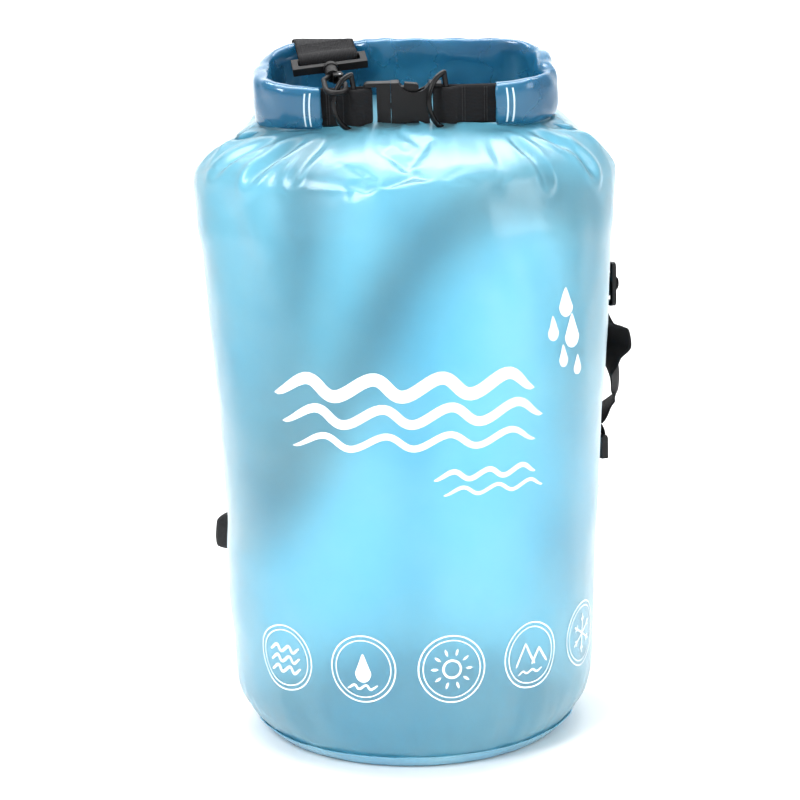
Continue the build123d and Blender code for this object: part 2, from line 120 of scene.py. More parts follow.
def ring_route():
    """The ring's centreline in its own plane, right tip to left, as runs of (length, its point at 0 to 1)."""
    runs = []

    def straight(a, b):
        def along(s):
            return a[0] + (b[0] - a[0]) * s, a[1] + (b[1] - a[1]) * s
        runs.append((hypot(b[0] - a[0], b[1] - a[1]), along))

    def corner(cx, cy, radius, start):
        def along(s):
            return cx + radius * cos(start + s * pi / 2), cy + radius * sin(start + s * pi / 2)
        runs.append((radius * pi / 2, along))

    fx = RING_SIDE - FRONT_CORNER
    bx = RING_SIDE - BACK_CORNER
    straight((RIGHT_TIP, RING_FRONT), (fx, RING_FRONT))
    corner(fx, RING_FRONT + FRONT_CORNER, FRONT_CORNER, -pi / 2)
    straight((RING_SIDE, RING_FRONT + FRONT_CORNER), (RING_SIDE, RING_BACK - BACK_CORNER))
    corner(bx, RING_BACK - BACK_CORNER, BACK_CORNER, 0)
    straight((bx, RING_BACK), (-bx, RING_BACK))
    corner(-bx, RING_BACK - BACK_CORNER, BACK_CORNER, pi / 2)
    straight((-RING_SIDE, RING_BACK - BACK_CORNER), (-RING_SIDE, RING_FRONT + FRONT_CORNER))
    corner(-fx, RING_FRONT + FRONT_CORNER, FRONT_CORNER, pi)
    straight((-fx, RING_FRONT), (LEFT_TIP, RING_FRONT))
    return runs


RUNS = ring_route()
RING_LENGTH = sum(length for length, run in RUNS)


def on_ring(t, out, up):
    """A point beside the ring's centreline: t from 0, the right tip, to 1, the left one, then out and up."""
    nearby = 0.004

    def flat(s):
        s = min(max(s, 0.0), 1.0) * RING_LENGTH
        for length, run in RUNS:
            if s <= length + 1e-9:
                return run(s / length)
            s -= length
        return RUNS[-1][1](1.0)

    x, y = flat(t)
    a, b = flat(t - nearby), flat(t + nearby)
    dx, dy = b[0] - a[0], b[1] - a[1]
    size = hypot(dx, dy)
    return point(ring, x + out * dy / size, y - out * dx / size, up)


def section(height):
    """Half width, half depth and setback of the tube at a height."""
    if height <= ROUND_TOP:
        radius = FOOT + (BODY - FOOT) * sin(min(max(height, 0) / ROUND_FOOT, 1) * pi / 2) ** 0.8
        return radius, radius, 0.0
    for low, high in zip(SECTIONS, SECTIONS[1:]):
        if height <= high[0]:
            part_way = (height - low[0]) / (high[0] - low[0])
            return [a + (b - a) * part_way for a, b in zip(low[1:], high[1:])]
    return SECTIONS[-1][1:]


# ---- materials -------------------------------------------------------------
class Nodes:
    """A material's node tree, with short calls for the few kinds of node used here."""

    def __init__(self, name):
        self.material = bpy.data.materials.new(name)
        self.material.use_nodes = True
        self.tree = self.material.node_tree
        self.shader = self.tree.nodes["Principled BSDF"]

    def add(self, kind, **sockets):
        node = self.tree.nodes.new(kind)
        for key, value in sockets.items():
            if hasattr(node, key):
                setattr(node, key, value)
            else:
                node.inputs[key.replace("_", " ")].default_value = value
        return node

    def link(self, source, target):
        self.tree.links.new(source, target)

    def set(self, **sockets):
        for key, value in sockets.items():
            self.shader.inputs[key.replace("_", " ")].default_value = value

    def coords(self, kind="Object"):
        return self.add("ShaderNodeTexCoord").outputs[kind]

    def math(self, operation, a, b=None):
        node = self.add("ShaderNodeMath", operation=operation)
        for slot_number, value in enumerate((a, b)):
            if value is None:
                continue
            if isinstance(value, (int, float)):
                node.inputs[slot_number].default_value = value
            else:
                self.link(value, node.inputs[slot_number])
        return node.outputs[0]

    def noise(self, scale, detail=3.0, roughness=0.5, source=None, stretch=(1, 1, 1)):
        mapping = self.add("ShaderNodeMapping")
        mapping.inputs["Scale"].default_value = stretch
        self.link(source or self.coords(), mapping.inputs["Vector"])
        texture = self.add("ShaderNodeTexNoise", Scale=scale, Detail=detail, Roughness=roughness)
        self.link(mapping.outputs[0], texture.inputs["Vector"])
        return texture.outputs["Fac"]

    def ramp(self, source, low, high, start=0.3, end=0.7):
        node = self.add("ShaderNodeValToRGB")
        for element, position, colour in zip(node.color_ramp.elements, (start, end), (low, high)):
            element.position = position
            element.color = colour if len(colour) == 4 else (*colour, 1)
        self.link(source, node.inputs[0])
        return node.outputs[0]

    def remap(self, source, low, high):
        node = self.add("ShaderNodeMapRange")
        node.inputs["To Min"].default_value = low
        node.inputs["To Max"].default_value = high
        self.link(source, node.inputs["Value"])
        return node.outputs[0]

    def bump(self, *layers):
        """Layers of (height, strength, distance), one on the other."""
        normal = None
        for height, strength, distance in layers:
            node = self.add("ShaderNodeBump", Strength=strength, Distance=distance)
            self.link(height, node.inputs["Height"])
            if normal:
                self.link(normal, node.inputs["Normal"])
            normal = node.outputs[0]
        self.link(normal, self.shader.inputs["Normal"])


def film_material(name, light, deep, transmission, roughness, coat=0.5, coat_roughness=0.2, shine=0.5):
    """Flexible frosted film: it scatters light softly, and its surface is glossy and slightly uneven."""
    m = Nodes(name)
    m.set(Transmission_Weight=transmission, IOR=1.43, Specular_IOR_Level=shine,
          Coat_Weight=coat, Coat_Roughness=coat_roughness, Coat_IOR=1.5)
    cloud = m.noise(9.0, 4.0, 0.55)
    m.link(m.ramp(cloud, deep, light, 0.25, 0.75), m.shader.inputs["Base Color"])
    m.link(m.remap(m.noise(35.0, 3.0), roughness - 0.06, roughness + 0.08), m.shader.inputs["Roughness"])
    soft = m.noise(14.0, 3.0, 0.5, stretch=(1, 1, 0.45))
    grain = m.noise(900.0, 2.0, 0.6)
    m.bump((soft, 0.35, 0.004), (grain, 0.10, 0.0004))
    return m.material


def weave_material(name, dark, bright, ribs, coords="UV"):
    """Woven tape: ribs across it, crossed by the finer weft, with a little worn fibre on the high threads."""
    m = Nodes(name)
    m.set(Roughness=0.78, Sheen_Weight=0.06, Sheen_Roughness=0.5, Specular_IOR_Level=0.12)
    split = m.add("ShaderNodeSeparateXYZ")
    m.link(m.coords(coords), split.inputs[0])
    across, along = split.outputs[0], split.outputs[1]
    rib = m.math("SINE", m.math("MULTIPLY", across, ribs))
    warp = m.math("ABSOLUTE", rib)
    row = m.math("MULTIPLY", along, ribs * 1.25)
    weft = m.math("ABSOLUTE", m.math("SINE", m.math("ADD", row, m.math("MULTIPLY", rib, 0.9))))
    cloth = m.math("MULTIPLY", m.math("POWER", warp, 0.6), m.math("POWER", weft, 0.5))
    fuzz = m.noise(2500.0, 2.0, 0.7)
    worn = m.math("ADD", m.math("MULTIPLY", cloth, 0.75), m.math("MULTIPLY", fuzz, 0.25))
    m.link(m.ramp(worn, dark, bright, 0.15, 0.95), m.shader.inputs["Base Color"])
    m.bump((cloth, 0.9, 0.00045), (fuzz, 0.25, 0.0001))
    return m.material


def plastic_material(name, colour, roughness, grain=0.12):
    """Moulded plastic: a fine spark-eroded grain, slightly polished where it is handled."""
    m = Nodes(name)
    m.set(Specular_IOR_Level=0.22, Coat_Weight=0.05, Coat_Roughness=0.2)
    wear = m.noise(45.0, 4.0, 0.6)
    m.link(m.ramp(wear, colour, [c * 1.7 + 0.004 for c in colour], 0.35, 0.9), m.shader.inputs["Base Color"])
    m.link(m.remap(wear, roughness - 0.1, roughness + 0.12), m.shader.inputs["Roughness"])
    m.bump((m.noise(1400.0, 2.0, 0.6), grain, 0.0002), (m.noise(60.0, 2.0), 0.12, 0.0008))
    return m.material


FILM = film_material("film", (0.48, 0.82, 0.915), (0.27, 0.68, 0.85), 0.90, 0.36)
# Its colour runs from bright cyan to deep blue in large patches: the film's tint, with painted glare and
# shade along the roll's arms.
ROLLED = film_material("rolled_film", (0.07, 0.50, 0.78), (0.012, 0.19, 0.42), 0.70, 0.26, 0.6, 0.07, 0.3)
# Painted lighter than the wall's film, as painted light against the floor's shade at the base; the back seam
# and the rear patch share it.
SEAM_FILM_PAINTED_LIGHT = film_material("seam_film_painted_light", (0.50, 0.85, 0.95), (0.36, 0.74, 0.90), 0.88, 0.34, 0.6, 0.15)
BASE_WELD = film_material("base_weld", (0.50, 0.88, 0.99), (0.20, 0.62, 0.90), 0.45, 0.30, 0.7, 0.12)
# Near-white and nearly opaque: weld lines, with painted highlight along the roll's fold edges.
WELD_AND_HIGHLIGHT_LINE = film_material("weld_line", (0.86, 0.96, 0.99), (0.70, 0.88, 0.96), 0.12, 0.3)
STRIP = film_material("stiffener", (0.20, 0.52, 0.74), (0.16, 0.45, 0.68), 0.45, 0.40)
WEBBING = weave_material("webbing", (0.003, 0.003, 0.0035), (0.026, 0.026, 0.029), 3400.0)
STRAP = weave_material("strap", (0.003, 0.003, 0.0035), (0.024, 0.024, 0.027), 3000.0)
PLASTIC = plastic_material("plastic", (0.004, 0.004, 0.0046), 0.42)
POLISHED = plastic_material("polished_plastic", (0.0035, 0.0035, 0.004), 0.24, 0.05)
INK = plastic_material("ink", (0.80, 0.84, 0.86), 0.5, 0.08)
THREAD = weave_material("thread", (0.01, 0.01, 0.011), (0.09, 0.09, 0.095), 9000.0, coords="Object")


def steel_material():
    """Bright drawn pin, with fine lines along its length."""
    m = Nodes("pin_steel")
    m.set(Metallic=1.0, Base_Color=(0.56, 0.56, 0.58, 1))
    m.link(m.remap(m.noise(800.0, 3.0, stretch=(1, 1, 12)), 0.22, 0.42), m.shader.inputs["Roughness"])
    m.bump((m.noise(1200.0, 2.0, stretch=(1, 1, 10)), 0.1, 0.0001))
    return m.material


STEEL = steel_material()


def dress(piece, material):
    """Gives a piece, or a CAD node by its name, one material."""
    piece = frame["nodes"][piece] if isinstance(piece, str) else piece
    if piece.data.materials:
        for n in range(len(piece.data.materials)):
            piece.data.materials[n] = material
    else:
        piece.data.materials.append(material)
    return piece


# ---- the film bag ----------------------------------------------------------
COLUMNS = 208
BODY_ROWS = 92
NECK_ROWS = 48
SHOULDER = 368.0
MOUTH_PLY = 3.0                   # half the distance between the two plies where they enter the roll
MOUTH_DROP = -13.0                # how far below the roll's middle they enter it
FILM_THICKNESS = 0.5

# How far the filled bag bulges past its even sections: height, to the left, to the right.
BULGES = ((0, 2.0, -3.0), (25, 5.0, -1.0), (60, 6.0, 0.0), (90, 8.0, 0.0), (120, 7.0, 0.0), (150, 4.0, 0.0),
          (230, 2.0, 0.0), (320, 2.5, 1.0), (345, 4.0, 2.5), (400, 6.0, 4.0))


def bulge(height, side):
    """How far the film stands past its section at a height; side is a column of BULGES."""
    for low, high in zip(BULGES, BULGES[1:]):
        if height <= high[0]:
            return low[side] + (high[side] - low[side]) * ease((height - low[0]) / (high[0] - low[0]))
    return BULGES[-1][side]


def film_point(turn, height):
    """A point of the tube below the shoulder; turn runs from +X to +Y."""
    half_width, half_depth, back = section(height)
    x = half_width * cos(turn)
    x += cos(turn) * (bulge(height, 2) if x > 0 else bulge(height, 1))
    return Vector((x, back + half_depth * sin(turn), height))


def neck_end(turn):
    """Where the wall enters the roll: the back half is the outer ply there, the front half the inner one."""
    around = turn % (2 * pi)
    if around <= pi:
        return on_ring(around / pi, MOUTH_PLY, MOUTH_DROP)
    return on_ring((2 * pi - around) / pi, -MOUTH_PLY, MOUTH_DROP)


def neck_point(turn, s):
    """The wall between the shoulder, at s of 0, and the roll, at 1."""
    start, end = film_point(turn, SHOULDER), neck_end(turn)
    reach = (end - start).length
    rise = Vector((0, 0, 1)) * min(reach * 1.8, 108.0)
    arrive = axis(ring, 2) * reach * 0.15
    return (start * (2 * s ** 3 - 3 * s ** 2 + 1) + rise * (s ** 3 - 2 * s ** 2 + s)
            + end * (3 * s ** 2 - 2 * s ** 3) + arrive * (s ** 3 - s ** 2))


def build_film():
    """The film's draft: the even sections up to the shoulder, then the neck up to the roll."""
    verts = []
    for i in range(BODY_ROWS):
        verts += [film_point(2 * pi * j / COLUMNS, SHOULDER * i / (BODY_ROWS - 1)) for j in range(COLUMNS)]
    for i in range(1, NECK_ROWS + 1):
        verts += [neck_point(2 * pi * j / COLUMNS, i / NECK_ROWS) for j in range(COLUMNS)]
    return mesh_object("film_draft", verts, grid_faces(BODY_ROWS + NECK_ROWS, COLUMNS, True))


FRAMES = 24
NECK_LENGTH = 118.0               # of film cut between the shoulder and the roll
CUT_SPARE = 1.012                 # film cut for each length that the shape needs
HELD_ROWS = 3                     # at the base and at the roll
CLOTH = {"quality": 6, "mass": 0.25, "air_damping": 4, "tension_stiffness": 20, "compression_stiffness": 20,
         "shear_stiffness": 12, "bending_stiffness": 0.05, "use_pressure": True,
         "uniform_pressure_force": 3.0, "vertex_group_mass": "held"}


def inflate(piece):
    """Lets the film settle as cloth: air inside, and more film round the neck than it needs, so it pleats."""
    piece.shape_key_add(name="Basis")
    cut = piece.shape_key_add(name="cut")
    rows = BODY_ROWS + NECK_ROWS
    step = SHOULDER / (BODY_ROWS - 1)
    for i in range(rows):
        height = step * i if i < BODY_ROWS else SHOULDER + (i - BODY_ROWS + 1) * NECK_LENGTH / NECK_ROWS
        for j in range(COLUMNS):
            flat = film_point(2 * pi * j / COLUMNS, min(height, SHOULDER))
            cut.data[i * COLUMNS + j].co = Vector((flat.x, flat.y, height)) * MM * CUT_SPARE
    cut.value = 0.0
    held = piece.vertex_groups.new(name="held")
    for i in (*range(HELD_ROWS), *range(rows - HELD_ROWS, rows)):
        held.add(list(range(i * COLUMNS, (i + 1) * COLUMNS)), 1.0, "REPLACE")
    cloth = piece.modifiers.new("cloth", "CLOTH")
    for setting, value in CLOTH.items():
        setattr(cloth.settings, setting, value)
    cloth.settings.rest_shape_key = cut
    cloth.settings.effector_weights.gravity = 0.0
    cloth.collision_settings.use_collision = False
    cloth.point_cache.frame_start = 1
    cloth.point_cache.frame_end = FRAMES
    for n in range(1, FRAMES + 1):
        bpy.context.scene.frame_set(n)
    shaped = piece.evaluated_get(bpy.context.evaluated_depsgraph_get())
    settled = [v.co.copy() for v in shaped.data.vertices]
    piece.modifiers.remove(cloth)
    piece.shape_key_clear()
    for vertex, co in zip(piece.data.vertices, settled):
        vertex.co = co
    piece.data.update()
    bpy.context.scene.frame_set(1)


FINE_FROM = 56                    # from this row up the refined grid has twice the rows

# Creases pressed into the film: both ends, depth and half width. A negative depth is a ridge.
CREASES = (
    ((-58, -56, 408), (-106, -78, 370), 5.0, 3.7),
    ((-74, -52, 408), (-128, -50, 378), 4.0, 3.7),
    ((-48, -60, 406), (-80, -98, 366), 2.0, 3.4),
    ((-84, -40, 410), (-136, -12, 384), 2.7, 3.9),
    ((62, -56, 408), (96, -88, 358), 3.8, 3.4),
    ((76, -50, 408), (126, -52, 370), 4.1, 3.7),
    ((52, -60, 406), (64, -104, 366), 1.6, 3.4),
    ((88, -38, 410), (136, -8, 382), 2.5, 3.9),
    ((-14, -52, 408), (-20, -104, 378), 1.1, 4.1),
    ((22, -52, 408), (26, -104, 380), 0.9, 3.9),
    ((-92, 20, 414), (-122, 52, 370), 3.2, 4.1),
    ((-70, 44, 418), (-92, 86, 364), 3.1, 3.9),
    ((-34, 46, 420), (-46, 102, 372), 2.0, 3.9),
    ((6, 46, 420), (4, 104, 376), 1.6, 3.9),
    ((40, 46, 420), (52, 100, 366), 2.5, 3.9),
    ((76, 42, 418), (98, 80, 368), 3.2, 4.1),
    ((94, 18, 414), (128, 44, 374), 2.9, 4.1),
    ((-104, -72, 374), (-62, -112, 268), -3.0, 15.0),
    ((-112, -62, 350), (-98, -78, 236), 1.8, 16.0),
    ((104, -76, 360), (116, -62, 250), -2.2, 14.0),
    ((70, -104, 352), (92, -86, 300), 1.6, 10.0),
    ((-70, -94, 30), (-84, -84, 96), 1.5, 9.0),
    ((58, -102, 18), (74, -96, 90), 1.6, 9.0),
    ((14, -116, 14), (4, -120, 60), 1.2, 8.0),
)
FOLDS = [(Vector(start), Vector(end), depth, half_width) for start, end, depth, half_width in CREASES]


def halfway(before, a, b, beyond):
    """The point halfway between a and b on a smooth curve through four points."""
    return (a + b) * 0.5625 - (before + beyond) * 0.0625


def refine(coarse):
    """The settled film on a finer grid: twice the columns, and twice the rows from FINE_FROM up."""
    rows = BODY_ROWS + NECK_ROWS

    def row_between(low):
        """The row halfway between the row at low and the next one."""
        if low == rows - 2:
            return [a + (b - a) * 0.5 for a, b in zip(coarse[low], coarse[low + 1])]
        return [halfway(*four) for four in zip(*coarse[low - 1:low + 3])]

    tall = coarse[:FINE_FROM]
    for low in range(FINE_FROM, rows - 1):
        tall += [coarse[low], row_between(low)]
    tall.append(coarse[-1])
    fine = []
    for row in tall:
        doubled = []
        for j in range(COLUMNS):
            doubled += [row[j], halfway(*(row[(j + k) % COLUMNS] for k in (-1, 0, 1, 2)))]
        fine.append(doubled)
    return fine


def crease_shift(here):
    """How far the creases press the film in at a point; a crease has low lips on both sides."""
    shift = 0.0
    for start, end, depth, half_width in FOLDS:
        run = end - start
        s = (here - start).dot(run) / run.length_squared
        if -0.3 < s < 1.3:
            along = min(max(s, 0), 1)
            away = (here - start - run * along).length / half_width
            if away < 4:
                lips = 0.42 * exp(-((away - 2.0) / 0.85) ** 2) if depth > 0 else 0.0
                shift += depth * (1 - 0.45 * along) * (lips - exp(-away * away))
    return shift


def wrinkle_shift(here, turn):
    """Puckers and pleats under the roll, waves of the wall, and puckers over the base weld."""
    height = here.z
    gather = ease((height - 330) / 60)
    puckers = noise.noise(Vector((cos(turn) * 7.5, sin(turn) * 7.5, height * 0.012)))
    pleats = 0.5 - abs(noise.noise(Vector((cos(turn) * 4.2 + 9, sin(turn) * 4.2, height * 0.008))))
    broad = noise.noise(here * 0.013 + Vector((0.3, 4.1, 8.2)))
    small = noise.noise(here * 0.05 + Vector((5.3, 1.1, 2.2)))
    foot = noise.noise(Vector((cos(turn) * 14, sin(turn) * 14, height * 0.03)))
    return (gather * (1.0 * puckers + 1.7 * (pleats - 0.3))
            + 2.0 * broad * ease(height / 60) * (1 - 0.5 * gather)
            + 0.35 * small * ease(height / 30)
            + 0.8 * foot * ease((height - 8) / 8) * (1 - ease((height - 18) / 30)))


def fold(rows):
    """Presses creases and wrinkles into rows of points along their normals, fading out at the roll."""
    count = len(rows[0])
    folded = []
    for i, row in enumerate(rows):
        above, below = rows[min(i + 1, len(rows) - 1)], rows[max(i - 1, 0)]
        near_top = 1 - ease((i - (len(rows) - 10)) / 9)
        new_row = []
        for j, here in enumerate(row):
            normal = (row[(j + 1) % count] - row[j - 1]).cross(above[j] - below[j]).normalized()
            shift = crease_shift(here) + wrinkle_shift(here, 2 * pi * j / count)
            new_row.append(here + normal * shift * near_top)
        folded.append(new_row)
    return folded


draft = build_film()
inflate(draft)
settled = [v.co / MM for v in draft.data.vertices]
bpy.data.objects.remove(draft)
film_rows = fold(refine([settled[i * COLUMNS:(i + 1) * COLUMNS] for i in range(BODY_ROWS + NECK_ROWS)]))
film = mesh_object("bag_film", [p for row in film_rows for p in row],
                   grid_faces(len(film_rows), 2 * COLUMNS, True))
skin = film.modifiers.new("thickness", "SOLIDIFY")
skin.thickness = FILM_THICKNESS * MM
skin.offset = -1
dress(film, FILM)
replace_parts(film, "bag_wall")
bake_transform(film)


# ---- the rolled mouth ------------------------------------------------------
ROLL_TURNS = 3.6
ROLL_PITCH = 1.2
ROLL_STATIONS = 230
TURN_POINTS = 46
FILM_HALF = 0.45                  # half the film's thickness in the roll
ROLL_FILM = 0.55                  # thinner than its share of the pitch, so that no two turns touch
noise.seed_set(5)                 # the vector noise would be different in each run without it


def crumple(where):
    """A smooth shift of everything near a point, so that layers on each other wrinkle together."""
    coarse = noise.noise_vector(where * 0.034 + Vector((3.1, 7.7, 1.3)))
    fine = noise.noise_vector(where * 0.095 + Vector((11.0, 2.0, 5.0)))
    return coarse * 2.8 + fine * 0.9


def roll_section(phi):
    """A point of the spiral: out from the ring and up its height, at phi radians from its outer end."""
    inset = ROLL_PITCH * phi / (2 * pi) + FILM_HALF
    x, y = sin(phi), -cos(phi)
    power = 2 / 3.0
    return ((ROLL_THICKNESS / 2 - inset) * (abs(x) ** power) * (1 if x > 0 else -1),
            (ROLL_HEIGHT / 2 - inset) * (abs(y) ** power) * (1 if y > 0 else -1))


def build_roll():
    """The mouth as one spiral of film along the ring, slimmer at its tips and fuller at the back."""
    turn_count = int(ROLL_TURNS * TURN_POINTS)
    verts = []
    for n in range(ROLL_STATIONS):
        t = n / (ROLL_STATIONS - 1)
        from_tip = min(t, 1 - t) * RING_LENGTH
        slim = 1 - 0.22 * (1 - ease(from_tip / 60))
        tall = ease((from_tip - 40) / 90)
        puff = 1 + 0.07 * sin(t * 39) * ease(from_tip / 20)
        for k in range(turn_count + 1):
            phi = 2 * pi * ROLL_TURNS * k / turn_count
            out, up = roll_section(phi)
            where = on_ring(t, out * puff, up * slim * (1 + 0.15 * tall) + 3.4 * tall)
            tip = 5.0 if t > 0.5 else 0.0
            slip = 1.4 * noise.noise(Vector((phi * 0.7, tip, 0))) * (1 - ease(from_tip / 12))
            where += (on_ring(t + 0.002, out, up) - on_ring(t - 0.002, out, up)).normalized() * slip
            verts.append(where + crumple(where) * (0.35 + 0.65 * ease(from_tip / 25)))
    roll = mesh_object("mouth_roll", verts, grid_faces(ROLL_STATIONS, turn_count + 1, False))
    skin = roll.modifiers.new("film", "SOLIDIFY")
    skin.thickness = ROLL_FILM * MM
    skin.offset = 0
    return roll


roll = dress(build_roll(), ROLLED)
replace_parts(roll, "rolled_mouth")
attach(roll, "ring")


def fasten(piece, body):
    """Rides a piece on a body; a piece given two bodies keeps its place, baked into its mesh."""
    if isinstance(body, str):
        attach(piece, body)
    else:
        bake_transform(piece)


# Where a piece bends: from body, to body, and where the bend starts and ends.
OVER_THE_ROLL = ("bag", "ring", (0, 0, 0.395), (0, 0, 0.440))
OUT_OF_THE_ARM = ("ring", "right_end", (0.074, 0, 0), (0.040, 0, 0))


# ---- tapes -----------------------------------------------------------------
def smooth_stations(stations, step):
    """Points every few millimetres on a smooth curve through the stations, with the way across at each."""
    points = [Vector(p) for p, across in stations]
    acrosses = [Vector(a).normalized() for p, a in stations]
    chords = [max((b - a).length, 1e-3) for a, b in zip(points, points[1:])]
    slopes = []
    for n, here in enumerate(points):
        if n == 0:
            slopes.append((points[1] - here) / chords[0])
        elif n == len(points) - 1:
            slopes.append((here - points[-2]) / chords[-1])
        else:
            before, after = (here - points[n - 1]) / chords[n - 1], (points[n + 1] - here) / chords[n]
            slopes.append((before * chords[n] + after * chords[n - 1]) / (chords[n] + chords[n - 1]))
    rows = []
    for n, chord in enumerate(chords):
        parts = max(1, ceil(chord / step))
        for k in range(parts + (1 if n == len(chords) - 1 else 0)):
            s = k / parts
            where = (points[n] * (2 * s ** 3 - 3 * s ** 2 + 1) + slopes[n] * chord * (s ** 3 - 2 * s ** 2 + s)
                     + points[n + 1] * (3 * s ** 2 - 2 * s ** 3) + slopes[n + 1] * chord * (s ** 3 - s ** 2))
            rows.append((where, acrosses[n].lerp(acrosses[n + 1], ease(s)).normalized()))
    return rows


def tape_edge(a):
    """A tape's thickness at a place across it, from -1 to 1, as a share of the full one."""
    return sqrt(max(0.0, 1 - abs(a) ** 9)) * (0.88 if abs(a) > 0.8 else 1.0)


def tape(name, stations, width, thickness, step, material, node, body):
    """A woven tape with full edges through stations of (point, way across), in place of a CAD node."""
    rows = smooth_stations(stations, step)
    outline = [(a, tape_edge(a)) for a in [-1 + 2 * k / 12 for k in range(13)]]
    loop = outline + [(a, -h) for a, h in reversed(outline[1:-1])]
    verts, uvs, run = [], [], 0.0
    for n, (where, across) in enumerate(rows):
        heading = (rows[min(n + 1, len(rows) - 1)][0] - rows[max(n - 1, 0)][0]).normalized()
        facing = heading.cross(across).normalized()
        if n:
            run += (where - rows[n - 1][0]).length
        for a, h in loop:
            verts.append(where + across * a * width / 2 + facing * (h * thickness / 2))
            uvs.append((a * width / 2 * MM, run * MM))
    count = len(loop)
    faces = grid_faces(len(rows), count, True)
    faces.append(tuple(range(count - 1, -1, -1)))
    faces.append(tuple(range((len(rows) - 1) * count, len(rows) * count)))
    piece = mesh_object(name, verts, faces)
    layer = piece.data.uv_layers.new(name="weave")
    for corner in piece.data.loops:
        layer.data[corner.index].uv = uvs[corner.vertex_index]
    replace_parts(dress(piece, material), node)
    fasten(piece, body)


front = place(point(ring, 0, RING_FRONT, 0), (1, 0, 0), -axis(ring, 1))
D_LEAN = radians(8.0)
D_WRAP = (12, 13, 14)             # the points of a front tape's route that lean with its D-ring's bar
WEBBING_WIDTH = 25.0
WEBBING_THICKNESS = 1.5


def front_stations(route):
    """Stations of a tape in front of the ring, from (x, out) points."""
    stations = []
    for n, (x, out) in enumerate(route):
        lean = D_LEAN if n in D_WRAP else 0.0
        across = axis(front, 0) * -sin(lean) + axis(front, 1) * cos(lean)
        stations.append((point(front, x, 0, out), across))
    return stations


left_route = [(-68, -0.85), (-56, -0.85), (-44, -0.85), (-36, -0.95), (-30, -1.6), (-26.6, -2.5),
              (-23.6, -2.85), (-21.6, -2.0), (-20.75, 0), (-21.6, 2.0), (-23.8, 2.95), (-25.7, 3.7),
              (-27.5, 4.7), (-30, 5.25), (-32.5, 4.5), (-34.6, 2.6), (-37.5, 1.25), (-44, 0.85),
              (-56, 0.85), (-68, 0.85)]
right_route = [(73, -0.85), (60, -0.85), (46, -0.85), (34, -0.95), (28.2, -1.6), (24.6, -2.5),
               (21.6, -2.85), (19.6, -2.0), (18.75, 0), (19.6, 2.0), (21.8, 2.95), (23.8, 3.7),
               (25.6, 4.7), (28.2, 5.25), (30.7, 4.5), (32.8, 2.6), (35.7, 1.25), (42, 0.85),
               (58, 0.85), (73, 0.85)]
for name, route, node, body in (("left_tape", left_route, "left_webbing", "ring"),
                                ("right_tape", right_route, "right_webbing", OUT_OF_THE_ARM)):
    tape(name, front_stations(route), WEBBING_WIDTH, WEBBING_THICKNESS, 1.2, WEBBING, node, body)


# ---- the shoulder strap ----------------------------------------------------
def beside(angle, height, gap):
    """A plane standing beside the wall: X along the wall, Y up, Z outwards. The angle runs from +X to +Y."""
    half_width, half_depth, back = section(height)
    turn = radians(angle)
    reach = 1 / sqrt((cos(turn) / half_width) ** 2 + (sin(turn) / half_depth) ** 2)
    x, y = reach * cos(turn), reach * sin(turn)
    outwards = Vector((x / half_width ** 2, y / half_depth ** 2, 0)).normalized()
    foot = Vector((x, back + y, height))
    return place(foot + outwards * gap, Vector((0, 0, 1)).cross(outwards), outwards)


LOOP_BAR = 46.0                   # from a hook's swivel to its strap loop's bar
STRAP_WIDTH = 38.0
STRAP_THICKNESS = 1.5
LAY = STRAP_THICKNESS / 2 + 0.1   # two plies on each other
WRAP_RADIUS = 2.2 + 0.25 + STRAP_THICKNESS / 2
SLIDER_WRAP = 3.7

joint_at = {joint["name"]: joint for joint in frame["record"]["behaviour"]["joints"]}
top_link = Vector(joint_at["top_swivel"]["pos_m"]) / MM
top_heading = Vector(joint_at["top_swivel"]["axis"]).normalized()
loop_across = Vector((cos(radians(3)), 0, sin(radians(3))))
loop_across = (loop_across - top_heading * loop_across.dot(top_heading)).normalized()
top_loop_place = place(top_link, loop_across, loop_across.cross(top_heading))
anchor = beside(22.0, 124.0, 4.0)
lower_link = Vector(joint_at["lower_swivel"]["pos_m"]) / MM
lower_loop_place = place(lower_link, axis(anchor, 0), axis(anchor, 2))
slider = beside(18.0, 292.0, 7.5)


def wrap(where, bar_height, radius, turns):
    """Points round a bar, at turns in degrees from the plane's normal."""
    stations = []
    for turn in turns:
        out = axis(where, 1) * sin(radians(turn)) + axis(where, 2) * cos(radians(turn))
        stations.append((point(where, 0, bar_height, 0) + out * radius, out))
    return stations


def on_wall(angle, height, gap, twist=0):
    """A point beside the wall, its inside facing the wall but for a twist in degrees."""
    where = beside(angle, height, gap)
    return where.translation.copy(), Matrix.Rotation(radians(twist), 3, "Z") @ -axis(where, 2)


def at(where, along_y, out):
    """A point facing out of a plane, as down() is one facing into it."""
    return point(where, 0, along_y, out), axis(where, 2)


def down(where, along_y, out):
    return point(where, 0, along_y, out), -axis(where, 2)


def facing_stations(route):
    """Stations of (point, facing) as stations of (point, way across)."""
    stations = []
    for n, (where, facing) in enumerate(route):
        heading = route[min(n + 1, len(route) - 1)][0] - route[max(n - 1, 0)][0]
        stations.append((where, facing.cross(heading).normalized()))
    return stations


